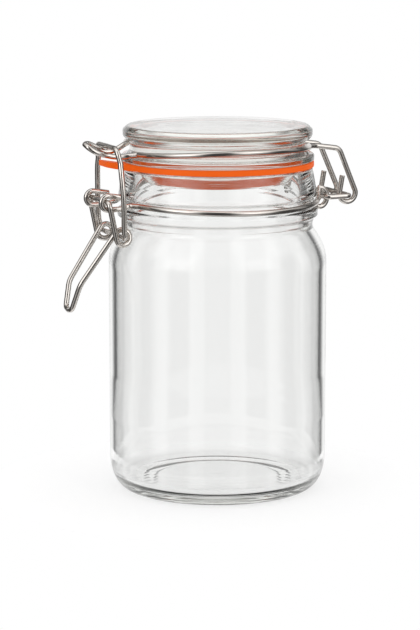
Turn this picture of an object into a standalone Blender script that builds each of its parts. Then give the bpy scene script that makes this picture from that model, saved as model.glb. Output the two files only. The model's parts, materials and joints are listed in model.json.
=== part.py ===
"""A clip top jar: glass jar and lid, rubber gasket, and a closure of bent steel wire.

Sizes are in millimetres here and become metres in the meshes. +Z is up, the clip is
towards -X and the hinge towards +X. Points are given from the jar's axis, and every
mesh is then moved along X so that the whole part's box is centred on the origin.
"""
from math import asin, atan2, cos, degrees, pi, radians, sin

import bmesh
import bpy
from mathutils import Vector

MM = 0.001
AXIS_X = 3.95               # the jar's axis, from the centre of the whole part's box

# Glass jar
BODY_R = 53.1
BODY_INNER_R = 49.6
FOOT_INNER_R, FOOT_OUTER_R = 38.0, 44.0
PUSH_UP = 2.6               # height of the base's underside inside the foot ring
HEEL_TOP = 16.0
FLOOR_Z = 5.2
FLOOR_R = 39.2
SHOULDER_Z = 110.0
NECK_R, NECK_Z = 46.0, 131.5
BEAD_R, BEAD_Z = 48.6, 137.0
GROOVE_R = 46.6
RIM_SKIRT_R, RIM_SKIRT_Z = 48.3, 144.4
RIM_R, RIM_Z = 46.0, 157.4
MOUTH_R = 41.6

# Gasket
GASKET_R, GASKET_BORE_R = 46.8, 41.3
GASKET_Z, GASKET_T = 157.9, 3.2
TAB_END_X, TAB_HALF_W = -60.0, 7.5

# Glass lid
PLUG_TOP_R, PLUG_LOW_R, PLUG_Z = 40.7, 37.6, 150.3
PLUG_TAPER_Z = 157.0
LID_Z = GASKET_Z + GASKET_T + 0.35
FLANGE_R, FLANGE_TOP_Z = 46.2, 165.0
WAIST_R = 42.6
LID_BEAD_R, LID_BEAD_Z, LID_TOP_Z = 45.9, 175.6, 178.6
LID_FLAT_R = 42.1

# Steel wire
WIRE_R = 1.33
NECK_WIRE_R, NECK_WIRE_Z = 48.4, 141.6
LID_WIRE_R, LID_WIRE_Z = 44.3, 170.4
LID_WIRE_DROP = 1.6         # how much lower the lid wire lies at the hinge and the clip
PIVOT = (-60.9, 144.4)      # X and Z of the lever's pivot, held in the neck wires' loops
EYE = (-53.7, 127.4)        # X and Z of the lever's eyes, which hold the bail
HINGE = (64.5, 142.1)       # X and Z of the lid's hinge, the link's outer bar
LINK_BAR = (51.8, 142.3)    # X and Z of the link's inner bar, held in the neck wires' hooks
LOOP_Y, LOOP_RISE = 10.8, 6.8
LOOP_END_X = -52.6
HOOK_CENTRE, HOOK_R = (50.9, 142.4), 4.1
HOOK_Y, HOOK_TURN = 10.9, 112
RING_BEND = (49.1, 12.2)    # X and Y where the neck ring turns into its hook
LINK_Y = 13.9
LID_LEG_Y = 10.8
LID_LEG_BEND = (59.5, 165.2)
LID_HOOK_R, LID_HOOK_START, LID_HOOK_END = 4.5, 188, 375
LID_HOOK_TIP = (61.9, 152.0)
LEVER_Y, EYE_R, EYE_PITCH = 13.9, 3.45, 3.0
HANDLE_KNEE = (-74.0, 7.9, 104.8)
HANDLE_BEND = (-76.9, 4.4, 93.2)
HANDLE_TIP = (-77.0, 92.3)
BAIL_TOP = (-57.3, 12.5, 170.5)
BAIL_LEG_TOP = (-55.7, 16.6, 160.0)
BAIL_LEG_LOW = (-55.0, 18.3, 144.0)
BAIL_FOOT_Y, BAIL_END_Y = 17.0, 8.0
NOSE = ((-52.6, 3.8, 165.2, 4.0), (-64.0, 3.7, 166.5, 6.0), (-67.8, 3.1, 169.1, 1.6))
NOSE_TIP = (-69.0, 169.8)

LATHE_STEPS = 56
WIRE_SIDES = 8

COLOURS = {
    "glass": ((0.86, 0.88, 0.87, 1.0), 0.04, 0.0),
    "rubber": ((0.82, 0.16, 0.02, 1.0), 0.55, 0.0),
    "steel": ((0.62, 0.61, 0.60, 1.0), 0.28, 1.0),
}


def clear_scene():
    for thing in list(bpy.data.objects):
        bpy.data.objects.remove(thing, do_unlink=True)


def material(name, kind):
    colour, roughness, metallic = COLOURS[kind]
    made = bpy.data.materials.new(name)
    made.use_nodes = True
    shader = made.node_tree.nodes["Principled BSDF"]
    shader.inputs["Base Color"].default_value = colour
    shader.inputs["Roughness"].default_value = roughness
    shader.inputs["Metallic"].default_value = metallic
    made.diffuse_color = colour
    return made


def pivot_empty(name, axis_point):
    """An empty on a joint's axis, for the pieces that turn about it."""
    empty = bpy.data.objects.new(name, None)
    empty.location = ((axis_point[0] + AXIS_X) * MM, 0.0, axis_point[1] * MM)
    bpy.context.scene.collection.objects.link(empty)
    return empty


def add_object(name, kind, verts, faces, parent=None):
    """One closed mesh object, from points in millimetres round the jar's axis."""
    mesh = bpy.data.meshes.new(name)
    thing = bpy.data.objects.new(name, mesh)
    bpy.context.scene.collection.objects.link(thing)
    origin = Vector((0.0, 0.0, 0.0))
    if parent:
        origin = parent.location.copy()
        thing.parent = parent
    moved = [Vector(((x + AXIS_X) * MM, y * MM, z * MM)) - origin for x, y, z in verts]
    mesh.from_pydata(moved, [], faces)
    work = bmesh.new()
    work.from_mesh(mesh)
    bmesh.ops.recalc_face_normals(work, faces=work.faces)
    work.to_mesh(mesh)
    work.free()
    mesh.materials.append(material(name, kind))
    for polygon in mesh.polygons:
        polygon.use_smooth = True
    return thing


def arc(centre, radius, start_deg, end_deg, steps):
    """Points of an arc in a plane, from one angle to the other."""
    angles = [radians(start_deg + (end_deg - start_deg) * i / steps) for i in range(steps + 1)]
    return [(centre[0] + radius * cos(a), centre[1] + radius * sin(a)) for a in angles]


def lathe(profile):
    """Verts and faces of a profile of (radius, z), turned about the jar's axis."""
    verts, rings, faces = [], [], []
    for radius, z in profile:
        if radius < 1e-6:
            rings.append([len(verts)] * LATHE_STEPS)
            verts.append((0.0, 0.0, z))
            continue
        rings.append(range(len(verts), len(verts) + LATHE_STEPS))
        for step in range(LATHE_STEPS):
            turn = 2 * pi * step / LATHE_STEPS
            verts.append((radius * cos(turn), radius * sin(turn), z))
    pairs = list(zip(rings, rings[1:]))
    if profile[0][0] > 1e-6:
        pairs.append((rings[-1], rings[0]))
    for low, high in pairs:
        for step in range(LATHE_STEPS):
            after = (step + 1) % LATHE_STEPS
            corners = (low[step], low[after], high[after], high[step])
            faces.append(tuple(dict.fromkeys(corners)))
    return verts, faces


def filleted(corners, steps=4):
    """A path through corner points, each (x, y, z, bend radius); 0 keeps a corner."""
    points = [Vector(c[:3]) for c in corners]
    path = [points[0]]
    for i in range(1, len(points) - 1):
        bend = corners[i][3]
        back = (points[i - 1] - points[i]).normalized()
        ahead = (points[i + 1] - points[i]).normalized()
        half = back.angle(ahead) / 2
        if bend <= 0 or half > radians(86):
            path.append(points[i])
            continue
        reach = bend / max(0.05, sin(half) / cos(half))
        centre = points[i] + (back + ahead).normalized() * bend / sin(half)
        first = points[i] + back * reach - centre
        last = points[i] + ahead * reach - centre
        turn = first.angle(last)
        for step in range(steps + 1):
            part = step / steps
            spot = first * (sin((1 - part) * turn) / sin(turn)) + last * (sin(part * turn) / sin(turn))
            path.append(centre + spot)
    path.append(points[-1])
    return path


def wire(path, radius=WIRE_R):
    """Verts and faces of a round wire along a path, with flat cut ends."""
    points = [Vector(p) for p in path]
    tangents = []
    for i in range(len(points)):
        before, after = points[max(i - 1, 0)], points[min(i + 1, len(points) - 1)]
        tangents.append((after - before).normalized())
    side = tangents[0].orthogonal().normalized()
    verts, faces = [], []
    for i, point in enumerate(points):
        if i:
            side = (tangents[i - 1].rotation_difference(tangents[i]) @ side).normalized()
            side = (side - tangents[i] * side.dot(tangents[i])).normalized()
        across = tangents[i].cross(side)
        for k in range(WIRE_SIDES):
            turn = 2 * pi * k / WIRE_SIDES
            verts.append(point + (side * cos(turn) + across * sin(turn)) * radius)
    for i in range(len(points) - 1):
        for k in range(WIRE_SIDES):
            after = (k + 1) % WIRE_SIDES
            low, high = i * WIRE_SIDES, (i + 1) * WIRE_SIDES
            faces.append((low + k, low + after, high + after, high + k))
    faces.append(tuple(range(WIRE_SIDES)))
    faces.append(tuple(range(len(verts) - WIRE_SIDES, len(verts))))
    return [tuple(v) for v in verts], faces


def ring_part(radius, z, side, start_y, end_y, steps, drop=0.0):
    """Points round the jar from the hinge side to the clip side, on one side of it."""
    start = asin(start_y / radius)
    end = pi - asin(end_y / radius)
    turns = [start + (end - start) * i / steps for i in range(steps + 1)]
    return [(radius * cos(t), side * radius * sin(t), z - drop * cos(t) ** 2) for t in turns]


def quarter(centre, wide, high, steps=6):
    """Radius and Z along the lower outer quarter of an ellipse, from its foot to its side."""
    turns = [pi / 2 * i / steps for i in range(steps + 1)]
    return [(centre[0] + wide * sin(t), centre[1] - high * cos(t)) for t in turns]


def jar_glass():
    heel = quarter((FOOT_OUTER_R, HEEL_TOP), BODY_R - FOOT_OUTER_R, HEEL_TOP)
    corner = quarter((FLOOR_R, FLOOR_Z + 12.0), BODY_INNER_R - FLOOR_R, 12.0)
    outside = [
        (0.0, PUSH_UP),
        (FOOT_INNER_R - 6.0, PUSH_UP * 0.8),
        (FOOT_INNER_R, 0.0),
        *heel,
        (BODY_R, SHOULDER_Z),
        (BODY_R - 0.9, SHOULDER_Z + 7.0),
        (BODY_R - 2.6, SHOULDER_Z + 12.3),
        (BODY_R - 5.0, SHOULDER_Z + 16.3),
        (NECK_R, NECK_Z),
        (BEAD_R, BEAD_Z - 1.5),
        (BEAD_R, BEAD_Z + 1.3),
        (GROOVE_R, NECK_WIRE_Z - 1.9),
        (GROOVE_R, NECK_WIRE_Z + 1.7),
        (RIM_SKIRT_R, RIM_SKIRT_Z),
        (RIM_R, RIM_Z - 0.6),
        (RIM_R - 0.7, RIM_Z),
    ]
    inside = [
        (MOUTH_R + 0.8, RIM_Z),
        (MOUTH_R, RIM_Z - 1.0),
        (MOUTH_R, 144.0),
        (MOUTH_R + 0.3, 132.0),
        (BODY_INNER_R - 5.4, 124.4),
        (BODY_INNER_R - 1.6, 118.9),
        (BODY_INNER_R, SHOULDER_Z),
        *reversed(corner),
        (0.0, FLOOR_Z + 0.6),
    ]
    return add_object("jar_glass", "glass", *lathe(outside + inside))


def lid_glass(parent):
    profile = [
        (0.0, PLUG_Z),
        (PLUG_LOW_R - 1.2, PLUG_Z),
        (PLUG_LOW_R, PLUG_Z + 1.4),
        (PLUG_TOP_R - 1.1, PLUG_TAPER_Z - 2.2),
        (PLUG_TOP_R, PLUG_TAPER_Z + 0.6),
        (PLUG_TOP_R, LID_Z),
        (FLANGE_R - 0.6, LID_Z),
        (FLANGE_R, LID_Z + 0.8),
        (FLANGE_R, FLANGE_TOP_Z - 0.8),
        (FLANGE_R - 1.2, FLANGE_TOP_Z),
        (WAIST_R, LID_WIRE_Z - 2.4),
        (WAIST_R, LID_WIRE_Z + 1.6),
        (LID_BEAD_R - 0.8, LID_BEAD_Z - 2.0),
        (LID_BEAD_R, LID_BEAD_Z),
        (LID_BEAD_R - 1.3, LID_BEAD_Z + 2.1),
        (LID_FLAT_R, LID_TOP_Z),
        (0.0, LID_TOP_Z),
    ]
    return add_object("lid_glass", "glass", *lathe(profile), parent)


def gasket(parent):
    """A flat rubber ring with a pull tab that lies out on the clip side."""
    verts, faces = [], []
    low, high = GASKET_Z, GASKET_Z + GASKET_T
    for step in range(LATHE_STEPS):
        turn = 2 * pi * step / LATHE_STEPS
        x, y = GASKET_R * cos(turn), GASKET_R * sin(turn)
        drop = 0.0
        if x < 0 and abs(y) < TAB_HALF_W:
            x = TAB_END_X + 3.0 * (abs(y) / TAB_HALF_W) ** 3
            drop = 0.9
        inner = (GASKET_BORE_R * cos(turn), GASKET_BORE_R * sin(turn))
        verts += [(x, y, low + 0.2 - drop), (x, y, high - 0.2 - drop)]
        verts += [(*inner, high), (*inner, low)]
    for step in range(LATHE_STEPS):
        here, after = step * 4, (step + 1) % LATHE_STEPS * 4
        for k in range(4):
            j = (k + 1) % 4
            faces.append((here + k, after + k, after + j, here + j))
    return add_object("gasket", "rubber", verts, faces, parent)


def neck_wire(name, side):
    """Half of the neck ring: a hook at the hinge end, a loop at the clip end."""
    hook = arc(HOOK_CENTRE, HOOK_R, -HOOK_TURN, HOOK_TURN, 12)
    path = [(x, side * HOOK_Y, z) for x, z in hook]
    ring = ring_part(NECK_WIRE_R, NECK_WIRE_Z, side, 17.5, 14.6, 22)
    turn_in = (RING_BEND[0], side * RING_BEND[1], NECK_WIRE_Z + 0.6, 1.5)
    path += filleted([path[-1], turn_in, ring[0]], 2)[1:-1]
    path += ring
    loop_x = PIVOT[0] - 0.4
    loop_z = NECK_WIRE_Z + LOOP_RISE / 2
    turn_out = (-NECK_WIRE_R - 0.2, side * LOOP_Y, NECK_WIRE_Z, 2.5)
    path += filleted([ring[-1], turn_out, (loop_x, side * LOOP_Y, NECK_WIRE_Z)])[1:-1]
    bend = arc((loop_x, loop_z), LOOP_RISE / 2, 270, 90, 8)
    path += [(x, side * LOOP_Y, z) for x, z in bend]
    path.append((LOOP_END_X, side * LOOP_Y, NECK_WIRE_Z + LOOP_RISE))
    return add_object(name, "steel", *wire(path))


def hinge_link():
    """A closed rectangular link: its inner bar hangs in the hooks, its outer bar is the axle."""
    bend = 1.6
    corners = [
        (LINK_BAR[0], 0.0, LINK_BAR[1], 0),
        (LINK_BAR[0], LINK_Y, LINK_BAR[1], bend),
        (HINGE[0], LINK_Y, HINGE[1], bend),
        (HINGE[0], -LINK_Y, HINGE[1], bend),
        (LINK_BAR[0], -LINK_Y, LINK_BAR[1], bend),
        (LINK_BAR[0], 0.0, LINK_BAR[1], 0),
    ]
    path = filleted(corners)
    verts, faces = wire([*path[:-1], path[-1] - Vector((0.0, 0.01, 0.0))])
    verts = verts[:-WIRE_SIDES]
    faces = [f for f in faces[:-2] if max(f) < len(verts)]
    last = len(verts) - WIRE_SIDES
    for k in range(WIRE_SIDES):
        after = (k + 1) % WIRE_SIDES
        faces.append((last + k, last + after, after, k))
    return add_object("hinge_link", "steel", verts, faces)


def lid_wire_half(side):
    """The lid wire's path on one side, from its cut end at the hinge to the nose's tip."""
    centre = (HINGE[0] + 0.1, HINGE[1] + 1.3)
    hook = arc(centre, LID_HOOK_R, LID_HOOK_START, LID_HOOK_END, 12)
    path = [(LID_HOOK_TIP[0], side * LID_LEG_Y, LID_HOOK_TIP[1])]
    path += [(x, side * LID_LEG_Y, z) for x, z in hook]
    ring = ring_part(LID_WIRE_R, LID_WIRE_Z, side, 12.5, 7.0, 22, LID_WIRE_DROP)
    leg = (LID_LEG_BEND[0], side * LID_LEG_Y, LID_LEG_BEND[1], 3.0)
    arm = (LID_WIRE_R + 0.3, side * LID_LEG_Y, ring[0][2], 3.0)
    path += filleted([path[-1], leg, arm, ring[0]], 3)[1:-1]
    path += ring
    nose = [
        (-46.8, side * 3.8, ring[-1][2] - 0.2, 3.0),
        *[(x, side * y, z, bend) for x, y, z, bend in NOSE],
        (NOSE_TIP[0], 0.0, NOSE_TIP[1], 0),
    ]
    path += [tuple(p) for p in filleted([ring[-1], *nose], 3)[1:]]
    return path


def lid_wire(parent):
    near, far = lid_wire_half(-1), lid_wire_half(1)
    return add_object("lid_wire", "steel", *wire(near + far[-2::-1]), parent)


def lever_half(side):
    """The lever's path on one side: pivot bar, arm, eye, and handle to its rounded tip."""
    pivot, eye = Vector(PIVOT), Vector(EYE)
    knee = Vector((HANDLE_KNEE[0], HANDLE_KNEE[2]))
    reach = eye - pivot
    arrive = degrees(atan2(reach.y, reach.x)) - degrees(asin(EYE_R / reach.length)) - 90
    away = knee - eye
    leave = degrees(atan2(away.y, away.x)) + degrees(asin(EYE_R / away.length)) - 90
    coil = arc(EYE, EYE_R, arrive, leave + 360, 16)
    path = filleted([(PIVOT[0], 0.0, PIVOT[1]), (PIVOT[0], side * LEVER_Y, PIVOT[1], 1.6),
                     (coil[0][0], side * LEVER_Y, coil[0][1])])[:-1]
    for i, (x, z) in enumerate(coil):
        path.append((x, side * (LEVER_Y - EYE_PITCH * i / 16), z))
    handle = [
        (knee.x, side * HANDLE_KNEE[1], knee.y, 8.0),
        (HANDLE_BEND[0], side * HANDLE_BEND[1], HANDLE_BEND[2], 2.4),
        (HANDLE_TIP[0], 0.0, HANDLE_TIP[1], 0),
    ]
    path += filleted([path[-1], *handle], 4)[1:]
    return [tuple(p) for p in path]


def lever(parent):
    near, far = lever_half(-1), lever_half(1)
    return add_object("lever", "steel", *wire(near[::-1] + far[1:-1]), parent)


def bail(parent):
    """The bail: a bar over the lid wire's nose, two legs, and ends hooked into the eyes."""
    top_x, top_y, top_z = BAIL_TOP
    half = [
        (*BAIL_LEG_TOP, 14.0),
        (*BAIL_LEG_LOW, 14.0),
        (EYE[0], BAIL_FOOT_Y, EYE[1], 2.0),
        (EYE[0], BAIL_END_Y, EYE[1], 0),
    ]
    corners = [(x, -y, z, bend) for x, y, z, bend in reversed(half)]
    corners += [(top_x, -top_y, top_z, 2.4), (top_x, top_y, top_z, 2.4), *half]
    return add_object("bail", "steel", *wire(filleted(corners)), parent)


def main():
    clear_scene()
    lid_axis = pivot_empty("lid_axis", HINGE)
    lever_axis = pivot_empty("lever_axis", PIVOT)
    bail_axis = pivot_empty("bail_axis", EYE)
    jar_glass()
    neck_wire("neck_wire_near", -1)
    neck_wire("neck_wire_far", 1)
    hinge_link()
    lid_glass(lid_axis)
    gasket(lid_axis)
    lid_wire(lid_axis)
    lever(lever_axis)
    bail(bail_axis)


main()
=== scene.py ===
"""Dresses the clip top jar: clear pressed glass, an orange rubber ring and bright drawn wire.

Sizes in the functions are in millimetres from the jar's own axis, and become metres in
the meshes. The clip lies towards -X and the hinge towards +X.
"""
import json
from math import asin, cos, pi, radians, sin, sqrt

import bmesh
import bpy
from bpy.props import FloatProperty, FloatVectorProperty, PointerProperty
from bpy.types import Operator, Panel, PropertyGroup
from mathutils import Euler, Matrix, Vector


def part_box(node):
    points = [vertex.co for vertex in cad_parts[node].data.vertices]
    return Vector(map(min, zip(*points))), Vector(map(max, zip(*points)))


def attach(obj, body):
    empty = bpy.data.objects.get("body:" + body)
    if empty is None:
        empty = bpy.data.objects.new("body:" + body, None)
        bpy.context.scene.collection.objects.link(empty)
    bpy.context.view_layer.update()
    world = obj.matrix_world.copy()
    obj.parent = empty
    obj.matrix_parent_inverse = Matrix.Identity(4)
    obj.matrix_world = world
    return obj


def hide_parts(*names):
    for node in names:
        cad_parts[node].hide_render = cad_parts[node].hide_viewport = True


bl_info = {
    "name": "Clip Top Jar",
    "version": (1, 0, 0),
    "blender": (4, 5, 0),
    "location": "View3D > Sidebar > Clip Jar",
    "description": "Builds the glass, the rubber ring and the wire closure of a clip top jar",
    "category": "Add Mesh",
}

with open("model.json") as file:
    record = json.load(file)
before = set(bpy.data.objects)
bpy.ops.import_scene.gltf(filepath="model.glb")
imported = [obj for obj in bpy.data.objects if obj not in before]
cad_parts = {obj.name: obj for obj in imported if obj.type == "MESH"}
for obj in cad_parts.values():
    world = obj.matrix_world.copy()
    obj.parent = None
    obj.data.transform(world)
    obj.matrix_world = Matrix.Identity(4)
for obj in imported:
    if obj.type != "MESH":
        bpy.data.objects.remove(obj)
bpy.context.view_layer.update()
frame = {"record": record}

MM = 0.001
JAR_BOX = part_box("jar_glass")
AXIS_X = (JAR_BOX[0][0] + JAR_BOX[1][0]) / 2 / MM
BODY_R = (JAR_BOX[1][1] - JAR_BOX[0][1]) / 2 / MM
LID_TOP_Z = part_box("lid_glass")[1][2] / MM
GASKET_TOP_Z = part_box("gasket")[1][2] / MM - 0.3
JOINT_AT = {j["name"]: j["pos_m"] for j in frame["record"]["behaviour"]["joints"]}


def joint_xz(name):
    """A joint's X and Z in millimetres, from the jar's axis."""
    place = JOINT_AT[name]
    return place[0] / MM - AXIS_X, place[2] / MM


HINGE = joint_xz("lid_hinge")
PIVOT = joint_xz("lever_pivot")
EYE = joint_xz("bail_pivot")


# ---------------------------------------------------------------- sizes and colours


class ClipJarGlass(PropertyGroup):
    wall: FloatProperty(
        name="Wall", description="Thickness of the jar's side, in millimetres",
        default=3.5, min=2.0, max=6.0)
    mouth_radius: FloatProperty(
        name="Mouth", description="Inner radius of the mouth, in millimetres",
        default=41.6, min=37.0, max=42.0)
    tint: FloatVectorProperty(
        name="Tint", description="Colour of the light that comes through",
        subtype="COLOR", size=4, min=0.0, max=1.0, default=(0.975, 0.977, 0.974, 1.0))
    index: FloatProperty(
        name="Refraction", description="Refractive index", default=1.5, min=1.3, max=1.8)


class ClipJarRubber(PropertyGroup):
    thickness: FloatProperty(
        name="Thickness", description="Thickness of the ring, in millimetres",
        default=2.75, min=2.0, max=4.0)
    colour: FloatVectorProperty(
        name="Colour", description="Colour of the rubber",
        subtype="COLOR", size=4, min=0.0, max=1.0, default=(0.80, 0.108, 0.003, 1.0))


class ClipJarWire(PropertyGroup):
    diameter: FloatProperty(
        name="Diameter", description="Diameter of the wire, in millimetres",
        default=2.64, min=1.6, max=3.0)
    colour: FloatVectorProperty(
        name="Colour", description="Colour of the bright steel",
        subtype="COLOR", size=4, min=0.0, max=1.0, default=(0.66, 0.62, 0.58, 1.0))


# ---------------------------------------------------------------- outlines and paths


def arc(centre, radius, start_deg, end_deg, steps, rise=None):
    """Points of an arc in a plane; rise is the second radius where it is an ellipse."""
    rise = radius if rise is None else rise
    turns = [radians(start_deg + (end_deg - start_deg) * i / steps) for i in range(steps + 1)]
    return [(centre[0] + radius * cos(t), centre[1] + rise * sin(t)) for t in turns]


def rounded(corners, steps=8):
    """A path through corner points with a bend at each; the last number of a corner is its radius."""
    points = [Vector(c[:-1]).to_3d() for c in corners]
    path = [points[0]]
    for i in range(1, len(points) - 1):
        back = points[i - 1] - points[i]
        ahead = points[i + 1] - points[i]
        room = min(back.length, ahead.length) * 0.49
        back.normalize()
        ahead.normalize()
        half = back.angle(ahead) / 2
        if corners[i][-1] <= 0 or half > radians(88.5):
            path.append(points[i])
            continue
        reach = min(corners[i][-1] / (sin(half) / cos(half)), room)
        bend = reach * sin(half) / cos(half)
        centre = points[i] + (back + ahead).normalized() * bend / sin(half)
        first = points[i] + back * reach - centre
        last = points[i] + ahead * reach - centre
        turn = first.angle(last)
        for step in range(steps + 1):
            part = step / steps
            mixed = first * sin((1 - part) * turn) + last * sin(part * turn)
            path.append(centre + mixed / sin(turn))
    path.append(points[-1])
    return path


def outline(corners, steps=8, hold=0.12):
    """A rounded outline of (radius, z) pairs; points close to each bend keep the straights true."""
    path = rounded(corners, steps)
    held = [path[0]]
    for before, after in zip(path, path[1:]):
        length = (after - before).length
        if length > 5 * hold:
            held += [before.lerp(after, hold / length), after.lerp(before, hold / length)]
        held.append(after)
    return [(p.x, p.y) for p in held]


def even(path, spacing):
    """The same path with points at even distances along the straight pieces between its own."""
    points = [Vector(p) for p in path]
    clean = [points[0]]
    for point in points[1:]:
        if (point - clean[-1]).length > 0.02:
            clean.append(point)
    lengths = [0.0]
    for before, after in zip(clean, clean[1:]):
        lengths.append(lengths[-1] + (after - before).length)
    count = max(2, round(lengths[-1] / spacing))
    result, k = [], 0
    for i in range(count + 1):
        target = lengths[-1] * i / count
        while k < len(clean) - 2 and lengths[k + 1] < target:
            k += 1
        part = (target - lengths[k]) / (lengths[k + 1] - lengths[k])
        result.append(clean[k].lerp(clean[k + 1], part))
    return result


def spline(points, steps=10):
    """A Catmull-Rom curve through given points."""
    knots = [Vector(p) for p in points]
    knots = [knots[0] * 2 - knots[1], *knots, knots[-1] * 2 - knots[-2]]
    path = []
    for a, b, c, d in zip(knots, knots[1:], knots[2:], knots[3:]):
        for step in range(steps):
            t = step / steps
            path.append(
                (b * 2 + (c - a) * t + (a * 2 - b * 5 + c * 4 - d) * t * t
                 + (b * 3 - a - c * 3 + d) * t ** 3) / 2)
    return [*path, knots[-2]]


# ---------------------------------------------------------------- meshes


def new_object(name, verts, faces, uvs=None):
    """A smooth mesh object from points in millimetres round the jar's axis."""
    mesh = bpy.data.meshes.new(name)
    mesh.from_pydata([((x + AXIS_X) * MM, y * MM, z * MM) for x, y, z in verts], [], faces)
    if uvs:
        layer = mesh.uv_layers.new(name="wire_uv")
        for polygon in mesh.polygons:
            corners = uvs[polygon.index]
            for loop, uv in zip(polygon.loop_indices, corners):
                layer.data[loop].uv = uv
    work = bmesh.new()
    work.from_mesh(mesh)
    bmesh.ops.recalc_face_normals(work, faces=work.faces)
    work.to_mesh(mesh)
    work.free()
    mesh.shade_smooth()
    thing = bpy.data.objects.new(name, mesh)
    bpy.context.scene.collection.objects.link(thing)
    return thing


def turned(profile, steps):
    """Verts and faces of a closed or axis-ended profile, turned about the jar's axis."""
    verts, rings, faces = [], [], []
    for radius, z in profile:
        if radius < 1e-6:
            rings.append([len(verts)] * steps)
            verts.append((0.0, 0.0, z))
            continue
        rings.append(range(len(verts), len(verts) + steps))
        for step in range(steps):
            turn = 2 * pi * step / steps
            verts.append((radius * cos(turn), radius * sin(turn), z))
    pairs = list(zip(rings, rings[1:]))
    if profile[0][0] > 1e-6:
        pairs.append((rings[-1], rings[0]))
    for low, high in pairs:
        for step in range(steps):
            after = (step + 1) % steps
            faces.append(tuple(dict.fromkeys((low[step], low[after], high[after], high[step]))))
    return verts, faces


WORN_EDGE = 0.16


def round_wire(name, path, diameter, sides=20, spacing=0.45, closed=False):
    """A round wire along a path, with sheared ends that have a small worn edge."""
    points = even(path, spacing)
    if closed:
        points = points[:-1]
    count = len(points)
    tangents = []
    for i in range(count):
        before = points[i - 1] if closed or i else points[0]
        after = points[(i + 1) % count] if closed or i < count - 1 else points[-1]
        tangents.append((after - before).normalized())
    side = tangents[0].orthogonal().normalized()
    sides_at = []
    for i in range(count):
        if i:
            side = tangents[i - 1].rotation_difference(tangents[i]) @ side
        side = (side - tangents[i] * side.dot(tangents[i])).normalized()
        sides_at.append(side)
    twist = 0.0
    if closed:
        back = tangents[-1].rotation_difference(tangents[0]) @ sides_at[-1]
        twist = sides_at[0].angle(back)
        if sides_at[0].cross(back).dot(tangents[0]) > 0:
            twist = -twist
    radius = diameter / 2
    edge = WORN_EDGE
    rings = [(i, 0.0, radius) for i in range(count)]
    if not closed:
        rings[0] = (0, edge, radius)
        rings[-1] = (count - 1, -edge, radius)
        rings.insert(0, (0, 0.0, radius - edge))
        rings.append((count - 1, 0.0, radius - edge))
    verts, along = [], []
    for i, shift, ring_radius in rings:
        across = tangents[i].cross(sides_at[i])
        centre = points[i] + tangents[i] * shift
        for k in range(sides):
            turn = 2 * pi * k / sides + twist * i / count
            verts.append(centre + (sides_at[i] * cos(turn) + across * sin(turn)) * ring_radius)
        along.append(i * spacing)
    faces, uvs = [], []
    last = len(rings) if closed else len(rings) - 1
    for i in range(last):
        low, high = i * sides, (i + 1) % len(rings) * sides
        v0, v1 = along[i], along[i] + spacing
        for k in range(sides):
            after = (k + 1) % sides
            faces.append((low + k, low + after, high + after, high + k))
            u0, u1 = k / sides, (k + 1) / sides
            uvs.append(((u0, v0), (u1, v0), (u1, v1), (u0, v1)))
    if not closed:
        for start in (0, len(verts) - sides):
            faces.append(tuple(range(start, start + sides)))
            uvs.append([(0.5 + 0.1 * cos(k), 0.1 * sin(k)) for k in range(sides)])
    thing = new_object(name, [tuple(v) for v in verts], faces, uvs)
    for polygon in thing.data.polygons:
        polygon.use_smooth = len(polygon.vertices) == 4
    return thing


def place(thing, body, slot, surface, *nodes):
    """Gives a piece its finish and its body, and hides the plain solids that it stands for."""
    thing.data.materials.clear()
    thing.data.materials.append(surface)
    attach(thing, body)
    if nodes:
        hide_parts(*nodes)
    return thing


# ---------------------------------------------------------------- finishes


class Finish:
    """A node material under way: adds nodes from left to right and links them by name."""

    def __init__(self, name):
        self.material = bpy.data.materials.new(name)
        self.material.use_nodes = True
        self.tree = self.material.node_tree
        self.shader = self.tree.nodes["Principled BSDF"]
        self.output = self.tree.nodes["Material Output"]

    def add(self, kind, **settings):
        node = self.tree.nodes.new(kind)
        for key, value in settings.items():
            if hasattr(node, key):
                setattr(node, key, value)
            else:
                node.inputs[key.replace("_", " ").title()].default_value = value
        return node

    def link(self, source, target):
        self.tree.links.new(source, target)

    def set(self, **values):
        for key, value in values.items():
            self.shader.inputs[key.replace("_", " ")].default_value = value

    def noise(self, coordinates, scale, detail=3.0, roughness=0.5, stretch=(1.0, 1.0, 1.0)):
        mapping = self.add("ShaderNodeMapping")
        mapping.inputs["Scale"].default_value = stretch
        self.link(coordinates, mapping.inputs["Vector"])
        noise = self.add("ShaderNodeTexNoise")
        noise.inputs["Scale"].default_value = scale
        noise.inputs["Detail"].default_value = detail
        noise.inputs["Roughness"].default_value = roughness
        self.link(mapping.outputs["Vector"], noise.inputs["Vector"])
        return noise.outputs["Fac"]

    def bump(self, height, strength, distance, normal=None):
        bump = self.add("ShaderNodeBump")
        bump.inputs["Strength"].default_value = strength
        bump.inputs["Distance"].default_value = distance
        self.link(height, bump.inputs["Height"])
        if normal:
            self.link(normal, bump.inputs["Normal"])
        return bump.outputs["Normal"]

    def ramp(self, factor, stops):
        ramp = self.add("ShaderNodeValToRGB")
        elements = ramp.color_ramp.elements
        while len(elements) < len(stops):
            elements.new(0.5)
        for element, (position, colour) in zip(elements, stops):
            element.position = position
            element.color = colour
        self.link(factor, ramp.inputs["Fac"])
        return ramp.outputs["Color"]


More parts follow.
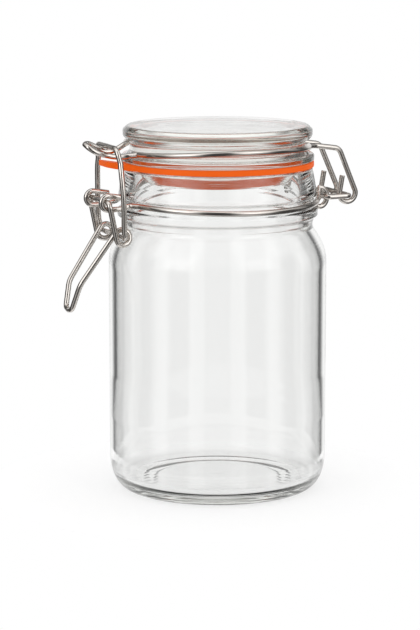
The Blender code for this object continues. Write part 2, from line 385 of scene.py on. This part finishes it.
def glass_finish(name, waves, wave_height):
    """Clear pressed glass: slightly wavy faces, and painted shade that makes its colour darker where it is
    seen edge on.
    """
    sizes = bpy.context.scene.clip_jar_glass
    finish = Finish(name)
    tint = tuple(sizes.tint)
    finish.set(Roughness=0.0, IOR=sizes.index)
    finish.shader.inputs["Transmission Weight"].default_value = 1.0
    place_of = finish.add("ShaderNodeTexCoord").outputs["Object"]
    # Painted shade: the glass colour darkens towards its outline, standing in for the dark edge lines that
    # reflections make.
    painted_edge_shade_mask = finish.add("ShaderNodeLayerWeight")
    painted_edge_shade_mask.inputs["Blend"].default_value = 0.32
    edge = tuple(c * 0.3 for c in tint[:3]) + (1.0,)
    colour = finish.ramp(painted_edge_shade_mask.outputs["Facing"], [(0.0, tint), (0.62, tint), (0.93, edge)])
    finish.link(colour, finish.shader.inputs["Base Color"])
    body = finish.add("ShaderNodeVolumeAbsorption", Color=(0.80, 0.81, 0.77, 1.0), Density=10.0)
    finish.link(body.outputs["Volume"], finish.output.inputs["Volume"])
    ripple = finish.noise(place_of, waves, 1.5, 0.4, (1.0, 1.0, 0.35))
    finish.link(finish.bump(ripple, 0.2, wave_height), finish.shader.inputs["Normal"])
    return finish.material


def rubber_finish():
    """Matt moulded rubber with a fine grain, and a painted glow: it emits its own colour so that it looks lit
    even in shade.
    """
    sizes = bpy.context.scene.clip_jar_rubber
    colour = tuple(sizes.colour)
    finish = Finish("orange_rubber")
    finish.set(Roughness=0.5, IOR=1.5)
    finish.shader.inputs["Specular IOR Level"].default_value = 0.14
    # Painted light: the rubber glows in its own colour, though it is no lamp.
    finish.shader.inputs["Emission Color"].default_value = colour
    finish.shader.inputs["Emission Strength"].default_value = 0.45
    place_of = finish.add("ShaderNodeTexCoord").outputs["Object"]
    cloud = finish.noise(place_of, 55.0, 4.0)
    pale = tuple(c * 0.64 + 0.003 for c in colour[:3]) + (1.0,)
    deep = tuple(c * 0.54 for c in colour[:3]) + (1.0,)
    finish.link(finish.ramp(cloud, [(0.3, deep), (0.7, pale)]), finish.shader.inputs["Base Color"])
    grain = finish.noise(place_of, 2600.0, 2.0, 0.6)
    finish.link(finish.bump(grain, 0.25, 0.00004), finish.shader.inputs["Normal"])
    return finish.material


def steel_finish():
    """Bright drawn steel: fine streaks along the wire and slightly uneven polish."""
    sizes = bpy.context.scene.clip_jar_wire
    colour = tuple(sizes.colour)
    finish = Finish("drawn_steel")
    finish.set(Metallic=1.0, Roughness=0.24)
    uv = finish.add("ShaderNodeUVMap", uv_map="wire_uv").outputs["UV"]
    streaks = finish.noise(uv, 1.0, 3.0, 0.6, (11.0, 0.05, 1.0))
    dull = tuple(c * 0.97 for c in colour[:3]) + (1.0,)
    bright = tuple(min(1.0, c * 1.02) for c in colour[:3]) + (1.0,)
    finish.link(finish.ramp(streaks, [(0.32, dull), (0.68, bright)]), finish.shader.inputs["Base Color"])
    polish = finish.noise(uv, 1.0, 3.0, 0.5, (6.0, 0.35, 1.0))
    rough = finish.add("ShaderNodeMapRange")
    rough.inputs["To Min"].default_value = 0.17
    rough.inputs["To Max"].default_value = 0.22
    finish.link(polish, rough.inputs["Value"])
    finish.link(rough.outputs["Result"], finish.shader.inputs["Roughness"])
    finish.link(finish.bump(streaks, 0.05, 0.000006), finish.shader.inputs["Normal"])
    return finish.material


def finish_once(name, make):
    """One material for every piece that shares a finish."""
    return bpy.data.materials.get(name) or make()


# ---------------------------------------------------------------- glass


TURN_STEPS = 288
HEEL_START, HEEL_TOP = 44.0, 16.0
FLOOR_Z, FLOOR_CORNER = 5.0, 5.0


def jar_outline(wall, mouth):
    """The jar's outline from the middle of its underside round to the middle of its floor."""
    body = BODY_R
    outside = [
        (0.0, 2.0, 0),
        (30.0, 1.8, 18.0),
        (43.0, 0.0, 6.0),
        (HEEL_START, 0.0, 0),
        *[(HEEL_START + (body - HEEL_START) * sin(radians(a)), HEEL_TOP * (1 - cos(radians(a))), 0)
          for a in range(5, 90, 5)],
        (body, HEEL_TOP, 0),
        (body, 118.2, 26.0),
        (46.0, 129.3, 3.2),
        (46.9, 133.6, 1.2),
        (48.7, 134.5, 0.9),
        (48.7, 137.9, 1.1),
        (46.9, 138.8, 0.5),
        (46.9, 143.3, 0.6),
        (48.3, 144.3, 0.8),
        (47.4, 150.4, 8.0),
        (46.0, 157.5, 1.0),
        (44.0, 157.5, 0),
    ]
    inner, low_inner = body - wall, body - 0.66 * wall
    flat = low_inner - FLOOR_CORNER
    inside = [
        (44.0, 157.5, 0),
        (mouth, 157.5, 1.4),
        (mouth, 138.5, 14.0),
        (41.4, 129.0, 10.0),
        (inner, 115.6, 22.0),
        (inner, 56.0, 40.0),
        (low_inner, 36.0, 30.0),
        (low_inner, FLOOR_Z + FLOOR_CORNER, 0),
        *[(flat + FLOOR_CORNER * cos(radians(a)), FLOOR_Z + FLOOR_CORNER * (1 - sin(radians(a))), 0)
          for a in range(6, 90, 6)],
        (flat, FLOOR_Z, 0),
        (22.0, FLOOR_Z + 0.3, 30.0),
        (0.0, FLOOR_Z + 0.5, 0),
    ]
    return outline(outside, 9) + outline(inside, 9)[1:]


def lid_outline():
    """The lid's outline, from the middle of the plug's underside to the middle of the top."""
    low, top = GASKET_TOP_Z + 0.3, LID_TOP_Z - 0.5
    return outline([
        (0.0, 150.1, 0),
        (36.8, 150.1, 0.4),
        (37.50, 151.0, 0),
        (38.13, 152.0, 0),
        (38.72, 153.0, 0),
        (39.27, 154.0, 0),
        (39.79, 155.0, 0),
        (40.26, 156.0, 0),
        (40.69, 157.0, 0),
        (41.0, 157.9, 0.4),
        (41.0, low, 0.3),
        (46.7, low, 0.7),
        (46.9, 164.2, 0.9),
        (44.4, 164.5, 0.8),
        (42.7, 166.4, 0.8),
        (42.7, 170.6, 1.2),
        (44.8, 171.8, 1.2),
        (46.0, 173.4, 1.6),
        (46.0, 176.3, 1.6),
        (44.0, top, 1.8),
        (41.0, top, 3.0),
        (37.0, top - 0.35, 3.0),
        (0.0, top - 0.35, 0),
    ], 9)


class CLIPJAR_OT_jar_glass(Operator):
    """Blow the glass jar: heel, shoulder, beaded neck and mouth"""
    bl_idname = "clip_jar.jar_glass"
    bl_label = "Jar"

    def execute(self, context):
        sizes = context.scene.clip_jar_glass
        profile = jar_outline(sizes.wall, sizes.mouth_radius)
        jar = new_object("clear_jar", *turned(profile, TURN_STEPS))
        place(jar, "jar", "glass", glass_finish("jar_clear_glass", 22.0, 0.0003), "jar_glass")
        return {"FINISHED"}


class CLIPJAR_OT_lid_glass(Operator):
    """Press the glass lid: plug, flange, groove for the wire and rounded top bead"""
    bl_idname = "clip_jar.lid_glass"
    bl_label = "Lid"

    def execute(self, context):
        lid = new_object("clear_lid", *turned(lid_outline(), TURN_STEPS))
        place(lid, "lid", "glass", glass_finish("lid_clear_glass", 40.0, 0.0005), "lid_glass")
        return {"FINISHED"}


# ---------------------------------------------------------------- rubber


def ring_plan(outer, tab_end, tab_half):
    """The ring's outer edge seen from above, with the tab towards -X."""
    root = 10.6
    away = asin(root / outer)
    steps = 320
    turns = [-pi + away + (2 * pi - 2 * away) * i / steps for i in range(steps + 1)]
    circle = [(outer * cos(t), outer * sin(t)) for t in turns]
    root_x = -sqrt(outer ** 2 - tab_half ** 2) - 0.4
    tab = rounded([
        (*circle[-1], 0), (root_x, tab_half, 2.6), (tab_end, tab_half - 0.3, 2.4),
        (tab_end, 0.3 - tab_half, 2.4), (root_x, -tab_half, 2.6), (*circle[0], 0)], 8)
    tab = even(tab, 0.5)
    return circle + [(p.x, p.y) for p in tab[1:-1]]


class CLIPJAR_OT_gasket(Operator):
    """Mould the rubber ring with its pull tab on the clip side"""
    bl_idname = "clip_jar.gasket"
    bl_label = "Rubber ring"

    def execute(self, context):
        sizes = context.scene.clip_jar_rubber
        outer, bore, soft = 46.75, 41.4, 0.55
        tab_end, tab_half, tab_rise = -59.1, 7.4, 2.0
        top = GASKET_TOP_Z
        low = top - sizes.thickness
        quarter = [(sin(radians(a)), cos(radians(a))) for a in range(0, 91, 18)]
        verts, faces = [], []
        for x, y in ring_plan(outer, tab_end, tab_half):
            far = sqrt(x * x + y * y)
            section = [(bore, (low + top) / 2), (bore, low + soft), (bore + soft, low)]
            section += [(outer - 1.5, low), (far - soft, low)]
            section += [(far - soft + soft * a, low + soft - soft * b) for a, b in quarter[1:]]
            section += [(far - soft + soft * a, top - soft + soft * b) for a, b in quarter[::-1]]
            section += [(outer - 1.5, top), (bore + soft, top), (bore, top - soft)]
            for radius, z in section:
                out = max(0.0, radius - outer + 1.0) / (abs(tab_end) - outer)
                lift = tab_rise * out ** 1.3 if x < 0 else 0.0
                verts.append((x / far * radius, y / far * radius, z + lift))
        per = len(section)
        count = len(verts) // per
        for step in range(count):
            here, after = step * per, (step + 1) % count * per
            for k in range(per):
                j = (k + 1) % per
                faces.append((here + k, after + k, after + j, here + j))
        ring = new_object("rubber_ring", verts, faces)
        place(ring, "lid", "rubber", finish_once("orange_rubber", rubber_finish), "gasket")
        return {"FINISHED"}


# ---------------------------------------------------------------- wire


def round_neck(radius, z, side, start_y, end_y, rise=(0.0, 0.0), steps=90):
    """Points round the jar from the hinge to the clip, with z at its side and a rise at each end."""
    start = asin(start_y / radius)
    end = pi - asin(end_y / radius)
    turns = [start + (end - start) * i / steps for i in range(steps + 1)]
    return [(radius * cos(t), side * radius * sin(t), z + rise[t > pi / 2] * cos(t) ** 2) for t in turns]


def neck_wire_path(side):
    """A neck wire from its hinge hook round the jar to the cut end of its lever loop."""
    ring_r, ring_z = 48.3, 140.7
    hook_y, loop_y = 10.9, 10.8
    hook = arc((49.6, 141.8), 3.7, -118, 96, 26, 4.7)
    path = [(x, side * hook_y, z) for x, z in hook]
    ring = round_neck(ring_r, ring_z, side, 19.0, 15.5, (0.8, 1.6))
    path += rounded([(*path[-1], 0), (48.3, side * 12.0, 144.2, 1.6), (47.6, side * 14.4, 142.2, 1.4),
                     (*ring[0], 0)], 6)[1:-1]
    path += ring
    loop_x, low_z, high_z = PIVOT[0] + 0.55, 140.7, 147.4
    path += rounded([(*ring[-1], 0), (-48.9, side * loop_y, 142.1, 2.8),
                     (-54.0, side * loop_y, low_z + 0.1, 3.0), (loop_x, side * loop_y, low_z, 0)], 8)[1:-1]
    bend = arc((loop_x, (low_z + high_z) / 2), (high_z - low_z) / 2, 270, 90, 20)
    path += [(x, side * loop_y, z) for x, z in bend]
    path += [(-57.0, side * loop_y, high_z - 0.45), (-52.3, side * loop_y, high_z - 1.35)]
    return path


def lid_wire_half(side):
    """The lid wire on one side, from its cut end at the hinge to the tip of the nose."""
    leg_y = 10.8
    hook = arc((HINGE[0] - 0.1, HINGE[1] + 1.0), 4.35, 184, 376, 30)
    path = [(61.7, side * leg_y, 151.9)]
    path += [(x, side * leg_y, z) for x, z in hook]
    far = side > 0
    ring = round_neck(44.4, 168.7, side, 13.5, 7.5, (-1.5, 1.5 if far else -2.8))
    path += rounded([(*path[-1], 0), (59.5, side * (leg_y + 0.6), 165.4, 4.2),
                     (46.5, side * (leg_y + 0.4), 167.2, 5.0), (*ring[0], 0)], 8)[1:-1]
    path += ring
    far_strand = [
        (-46.4, 4.8, 169.8), (-49.8, 3.9, 168.2), (-54.2, 3.6, 166.8), (-57.4, 3.5, 167.1),
        (-61.0, 3.5, 169.1), (-64.2, 3.3, 170.7), (-66.4, 2.4, 171.2)]
    near_strand = [
        (-47.0, 4.8, 165.3), (-50.5, 3.8, 164.8), (-54.8, 3.6, 165.1), (-58.6, 3.5, 165.9),
        (-62.2, 3.5, 166.9), (-65.0, 3.3, 168.3), (-67.0, 2.4, 169.8)]
    strand = [(x, side * y, z) for x, y, z in (far_strand if far else near_strand)]
    path += spline([ring[-1], *strand, (-67.9, 0.0, 171.0)], 8)[1:]
    return [tuple(p) for p in path]


def lever_half(side):
    """The lever on one side: half its pivot bar, an arm, an eye, and the handle to its tip."""
    arm_y, inner_y = 13.9, 10.9
    pivot = Vector(PIVOT)
    coil_steps = 40
    coil = arc(EYE, 3.6, -168.0, 146.0, coil_steps)
    path = rounded([(pivot.x, 0.0, pivot.y, 0), (pivot.x, side * arm_y, pivot.y, 2.8),
                    (coil[0][0], side * arm_y, coil[0][1], 0)], 10)[:-1]
    for i, (x, z) in enumerate(coil):
        path.append(Vector((x, side * (arm_y - (arm_y - inner_y) * i / coil_steps), z)))
    handle = [
        (*path[-1], 0),
        (-73.7, side * 7.9, 104.9, 12.0),
        (-76.7, side * 4.4, 92.8, 3.0),
        (-76.8, 0.0, 92.1, 0),
    ]
    path += rounded(handle, 10)[1:]
    return [tuple(p) for p in path]


def bail_path():
    """The bail from one foot over its bar to the other foot."""
    half = spline([
        (-55.7, 15.6, 163.0),
        (-55.7, 16.9, 158.0),
        (-55.3, 18.1, 149.0),
        (-55.1, 18.5, 141.0),
        (-54.95, 18.2, 134.0),
        (-54.5, 17.3, 130.2),
    ], 10)
    foot = rounded([(*half[-1], 0), (EYE[0], 16.8, EYE[1], 2.2), (EYE[0], 8.2, EYE[1], 0)], 8)[1:]
    corner = rounded([(-57.0, 0.0, 169.9, 0), (-57.0, 13.9, 169.8, 5.6), (*half[0], 0)], 10)[:-1]
    side = [Vector(p) for p in corner + half + foot]
    return [Vector((p.x, -p.y, p.z)) for p in reversed(side)] + side[1:]


def steel(thing, body, node):
    """Gives a wire its bright finish."""
    return place(thing, body, "steel", finish_once("drawn_steel", steel_finish), node)


class CLIPJAR_OT_neck_wires(Operator):
    """Bend the two neck wires, each with a hinge hook and a loop for the lever"""
    bl_idname = "clip_jar.neck_wires"
    bl_label = "Neck wires"

    def execute(self, context):
        diameter = context.scene.clip_jar_wire.diameter
        for side, name in ((-1, "near"), (1, "far")):
            thing = round_wire(f"bright_neck_wire_{name}", neck_wire_path(side), diameter)
            steel(thing, "jar", f"neck_wire_{name}")
        return {"FINISHED"}


class CLIPJAR_OT_hinge_link(Operator):
    """Bend the closed link that the lid's wire turns on"""
    bl_idname = "clip_jar.hinge_link"
    bl_label = "Hinge link"

    def execute(self, context):
        diameter = context.scene.clip_jar_wire.diameter
        inner, link_y, bend = (51.8, 141.9), 13.9, 2.2
        corners = [
            (inner[0], 0.0, inner[1], 0),
            (inner[0], link_y, inner[1], bend),
            (HINGE[0], link_y, HINGE[1], bend),
            (HINGE[0], -link_y, HINGE[1], bend),
            (inner[0], -link_y, inner[1], bend),
            (inner[0], 0.0, inner[1], 0),
        ]
        link = round_wire("bright_hinge_link", rounded(corners, 10), diameter, closed=True)
        steel(link, "jar", "hinge_link")
        return {"FINISHED"}


class CLIPJAR_OT_lid_wire(Operator):
    """Bend the lid's wire: hinge hooks, legs, ring round the lid and nose"""
    bl_idname = "clip_jar.lid_wire"
    bl_label = "Lid wire"

    def execute(self, context):
        diameter = context.scene.clip_jar_wire.diameter
        path = lid_wire_half(-1) + lid_wire_half(1)[-2::-1]
        steel(round_wire("bright_lid_wire", path, diameter), "lid", "lid_wire")
        return {"FINISHED"}


class CLIPJAR_OT_lever(Operator):
    """Bend the lever: pivot bar, arms, eyes and handle"""
    bl_idname = "clip_jar.lever"
    bl_label = "Lever"

    def execute(self, context):
        diameter = context.scene.clip_jar_wire.diameter
        near, far = lever_half(-1), lever_half(1)
        path = near[::-1][:-1] + far
        path += [near[-1]]
        steel(round_wire("bright_lever", path, diameter, closed=True), "lever", "lever")
        return {"FINISHED"}


class CLIPJAR_OT_bail(Operator):
    """Bend the bail that presses the lid's nose down"""
    bl_idname = "clip_jar.bail"
    bl_label = "Bail"

    def execute(self, context):
        diameter = context.scene.clip_jar_wire.diameter
        steel(round_wire("bright_bail", bail_path(), diameter), "bail", "bail")
        return {"FINISHED"}


# ---------------------------------------------------------------- stage


VIEW_AZIMUTH, VIEW_PITCH = radians(-22.0), radians(9.9)
VIEW_DISTANCE = 1.225
FOCAL_PIXELS = 2500.0
FRAME_W, FRAME_H = 420, 630
AXIS_PIXEL = 217.5
AIM_Z = 0.0846


def add_camera():
    """The main view, a little above the jar and towards its clip."""
    data = bpy.data.cameras.new("studio_camera")
    camera = bpy.data.objects.new("studio_camera", data)
    bpy.context.scene.collection.objects.link(camera)
    data.sensor_width = 36.0
    data.lens = FOCAL_PIXELS / FRAME_H * data.sensor_width
    turn = Euler((pi / 2 - VIEW_PITCH, 0.0, VIEW_AZIMUTH), "XYZ")
    look = turn.to_matrix()
    right = look @ Vector((1.0, 0.0, 0.0))
    back = look @ Vector((0.0, 0.0, 1.0))
    aside = (AXIS_PIXEL - FRAME_W / 2) / FOCAL_PIXELS * VIEW_DISTANCE
    aim = Vector((AXIS_X * MM, 0.0, AIM_Z)) - right * aside
    camera.location = aim + back * VIEW_DISTANCE
    camera.rotation_euler = turn
    data.clip_end = 50.0
    bpy.context.scene.camera = camera


def add_floor():
    """A round pale table that is as bright as the room round it."""
    radius, steps = 0.11, 96
    mesh = bpy.data.meshes.new("pale_floor")
    rim = [(radius * cos(2 * pi * i / steps), radius * sin(2 * pi * i / steps), 0.0) for i in range(steps)]
    mesh.from_pydata(rim, [], [tuple(range(steps))])
    floor = bpy.data.objects.new("pale_floor", mesh)
    floor.location.z = -0.0002
    bpy.context.scene.collection.objects.link(floor)
    finish = Finish("pale_sweep")
    finish.set(Base_Color=(0.30, 0.30, 0.30, 1.0), Roughness=0.9)
    finish.shader.inputs["Specular IOR Level"].default_value = 0.0
    finish.shader.inputs["Emission Color"].default_value = (1.0, 1.0, 1.0, 1.0)
    finish.shader.inputs["Emission Strength"].default_value = 0.70
    mesh.materials.append(finish.material)


def add_softbox(name, place_at, width, height, power):
    """A soft light that faces the jar and is not seen itself."""
    data = bpy.data.lights.new(name, "AREA")
    data.shape = "RECTANGLE"
    data.size = width
    data.size_y = height
    data.energy = power
    lamp = bpy.data.objects.new(name, data)
    lamp.location = place_at
    aim = Vector((0.0, 0.0, 0.09)) - lamp.location
    lamp.rotation_euler = aim.to_track_quat("-Z", "Y").to_euler()
    lamp.visible_camera = False
    bpy.context.scene.collection.objects.link(lamp)


# Light levels round the room, by degrees away from its dark front. The gleams are what
# outer faces reflect, near the table and higher up. The clear levels are what glass shows
# inside itself, and straight looks through it meet at least CLEAR_THROUGH.
LOW_GLEAM = (
    (0, 0.05), (18, 0.06), (32, 0.5), (58, 0.5), (70, 0.12), (80, 0.06), (140, 0.08), (152, 0.9), (180, 1.0))
HIGH_GLEAM = (
    (0, 0.02), (16, 0.03), (36, 1.0), (50, 1.0), (72, 0.06), (80, 0.03), (138, 0.04), (150, 0.4),
    (180, 0.44))
PANEL_LEVEL = 2.3
CLEAR_THROUGH = 0.93
CLEAR_LEVELS = (
    (0, 0.5), (13, 0.5), (16, 0.95), (30, 0.95), (34, 0.2), (56, 0.2), (60, 0.95), (76, 0.95), (80, 0.2),
    (101, 0.2), (105, 0.95), (121, 0.95), (125, 0.15), (149, 0.12), (155, 0.6), (160, 0.97), (180, 1.0))
# Heights in degrees: where the ceiling starts and is full, where the front gap ends, and
# where the back wall darkens
CEILING_FROM, CEILING_FULL = 20.0, 34.0
GAP_FULL, GAP_END = 60.0, 74.0
DIM_FROM, DIM_FULL = 13.0, 20.0
CEILING_BACK, CEILING_FRONT = 0.35, 1.25
BACK_DIM = 0.85
FRONT_GAP = ((0, 0.95), (16, 0.92), (27, 0.0), (180, 0.0))


class NodeSums:
    """Small sums in a node tree, each returning its result socket."""

    def __init__(self, tree):
        self.tree = tree

    def node(self, kind, **settings):
        made = self.tree.nodes.new(kind)
        for key, value in settings.items():
            setattr(made, key, value)
        return made

    def math(self, operation, *values):
        made = self.node("ShaderNodeMath", operation=operation)
        for socket, value in zip(made.inputs, values):
            if isinstance(value, (int, float)):
                socket.default_value = value
            else:
                self.tree.links.new(value, socket)
        return made.outputs[0]

    def along(self, vector, axis):
        made = self.node("ShaderNodeVectorMath", operation="DOT_PRODUCT")
        self.tree.links.new(vector, made.inputs[0])
        made.inputs[1].default_value = axis
        return made.outputs["Value"]

    def levels(self, value, stops):
        ramp = self.node("ShaderNodeValToRGB")
        elements = ramp.color_ramp.elements
        while len(elements) < len(stops):
            elements.new(0.5)
        for element, (degree, level) in zip(elements, stops):
            element.position = degree / 180
            element.color = (level, level, level, 1.0)
        self.tree.links.new(value, ramp.inputs["Fac"])
        return ramp.outputs["Color"]

    def smooth(self, value, start, end, low=0.0, high=1.0):
        made = self.node("ShaderNodeMapRange", interpolation_type="SMOOTHSTEP")
        self.tree.links.new(value, made.inputs["Value"])
        for key, number in (("From Min", start), ("From Max", end), ("To Min", low), ("To Max", high)):
            made.inputs[key].default_value = number
        return made.outputs["Result"]


def add_world():
    """A white room with soft light on both sides and a dark gap at its front."""
    world = bpy.data.worlds.new("studio_room")
    world.use_nodes = True
    tree = world.node_tree
    tree.nodes.clear()
    sums = NodeSums(tree)
    ray = sums.node("ShaderNodeTexCoord").outputs["Generated"]
    front = sums.along(ray, (sin(VIEW_AZIMUTH), -cos(VIEW_AZIMUTH), 0.0))
    side = sums.along(ray, (cos(VIEW_AZIMUTH), sin(VIEW_AZIMUTH), 0.0))
    height = sums.along(ray, (0.0, 0.0, 1.0))
    turn = sums.math("ABSOLUTE", sums.math("ARCTAN2", side, front))
    part = sums.math("MULTIPLY", turn, 1 / pi)
    path = sums.node("ShaderNodeLightPath")
    through = path.outputs["Is Transmission Ray"]
    panels = sums.math("MULTIPLY", sums.levels(part, HIGH_GLEAM), PANEL_LEVEL)
    raised = sums.smooth(height, 0.0, 0.07)
    gleam = sums.math("MULTIPLY", sums.levels(part, LOW_GLEAM), sums.math("SUBTRACT", 1.0, raised))
    gleam = sums.math("ADD", gleam, sums.math("MULTIPLY", panels, raised))
    gleam = sums.math("MULTIPLY", gleam, sums.math("SUBTRACT", 1.0, through))
    straight = sums.math("MULTIPLY", sums.math("LESS_THAN", path.outputs["Glossy Depth"], 0.5), CLEAR_THROUGH)
    clear = sums.math("MULTIPLY", sums.math("MAXIMUM", sums.levels(part, CLEAR_LEVELS), straight), through)
    above = sums.smooth(height, sin(radians(CEILING_FROM)), sin(radians(CEILING_FULL)))
    ceiling = sums.smooth(front, -0.3, 0.2, CEILING_BACK, CEILING_FRONT)
    gap = sums.math("MULTIPLY", sums.levels(part, FRONT_GAP), sums.math("SUBTRACT", 1.0, through))
    gap = sums.math("MULTIPLY", gap, sums.smooth(height, sin(radians(GAP_END)), sin(radians(GAP_FULL))))
    ceiling = sums.math("MULTIPLY", ceiling, sums.math("SUBTRACT", 1.0, gap))
    walls = sums.math("MULTIPLY", sums.math("ADD", gleam, clear), sums.math("SUBTRACT", 1.0, above))
    level = sums.math("ADD", walls, sums.math("MULTIPLY", above, ceiling))
    lofty = sums.math("MULTIPLY", sums.smooth(height, sin(radians(DIM_FROM)), sin(radians(DIM_FULL))),
                      sums.smooth(front, -0.45, -0.8))
    lofty = sums.math("MULTIPLY", lofty, sums.math("SUBTRACT", 1.0, through))
    level = sums.math("MULTIPLY", level, sums.math("SUBTRACT", 1.0, sums.math("MULTIPLY", lofty, BACK_DIM)))
    soft = sums.math("GREATER_THAN", path.outputs["Diffuse Depth"], 0.5)
    seen = sums.math("MAXIMUM", path.outputs["Is Camera Ray"], soft)
    level = sums.math("ADD", sums.math("MULTIPLY", level, sums.math("SUBTRACT", 1.0, seen)), seen)
    room = sums.node("ShaderNodeBackground")
    tree.links.new(level, room.inputs["Color"])
    output = sums.node("ShaderNodeOutputWorld")
    tree.links.new(room.outputs["Background"], output.inputs["Surface"])
    bpy.context.scene.world = world


class CLIPJAR_OT_stage(Operator):
    """Set the floor, the soft lights, the room and the camera"""
    bl_idname = "clip_jar.stage"
    bl_label = "Stage"

    def execute(self, context):
        add_camera()
        add_floor()
        add_world()
        add_softbox("left_softbox", (-1.1, -0.5, 0.75), 0.7, 1.0, 0.8)
        add_softbox("right_softbox", (1.1, -0.1, 0.6), 0.5, 1.0, 0.5)
        add_softbox("top_softbox", (0.0, 0.1, 1.3), 1.0, 1.0, 1.2)
        scene = context.scene
        scene.view_settings.view_transform = "Standard"
        scene.cycles.caustics_refractive = True
        scene.cycles.max_bounces = 24
        scene.cycles.transmission_bounces = 20
        scene.cycles.glossy_bounces = 10
        return {"FINISHED"}


# ---------------------------------------------------------------- add-on


class CLIPJAR_PT_panel(Panel):
    """Lists the jar's pieces and sizes"""
    bl_idname = "CLIPJAR_PT_panel"
    bl_label = "Clip Top Jar"
    bl_space_type = "VIEW_3D"
    bl_region_type = "UI"
    bl_category = "Clip Jar"

    def draw(self, context):
        layout = self.layout
        scene = context.scene
        for title, group in (("Glass", scene.clip_jar_glass), ("Rubber", scene.clip_jar_rubber),
                             ("Wire", scene.clip_jar_wire)):
            box = layout.box()
            box.label(text=title)
            for name in group.__annotations__:
                box.prop(group, name)
        column = layout.column(align=True)
        for operator in OPERATORS:
            column.operator(operator.bl_idname)


GROUPS = {
    "clip_jar_glass": ClipJarGlass,
    "clip_jar_rubber": ClipJarRubber,
    "clip_jar_wire": ClipJarWire,
}
OPERATORS = (
    CLIPJAR_OT_jar_glass,
    CLIPJAR_OT_lid_glass,
    CLIPJAR_OT_gasket,
    CLIPJAR_OT_neck_wires,
    CLIPJAR_OT_hinge_link,
    CLIPJAR_OT_lid_wire,
    CLIPJAR_OT_lever,
    CLIPJAR_OT_bail,
    CLIPJAR_OT_stage,
)


def register():
    for cls in (*GROUPS.values(), *OPERATORS, CLIPJAR_PT_panel):
        bpy.utils.register_class(cls)
    for name, group in GROUPS.items():
        setattr(bpy.types.Scene, name, PointerProperty(type=group))


def unregister():
    for name in GROUPS:
        delattr(bpy.types.Scene, name)
    for cls in reversed((*GROUPS.values(), *OPERATORS, CLIPJAR_PT_panel)):
        bpy.utils.unregister_class(cls)


def main():
    register()
    for operator in OPERATORS:
        group, name = operator.bl_idname.split(".")
        getattr(getattr(bpy.ops, group), name)()


if __name__ == "__main__":
    main()
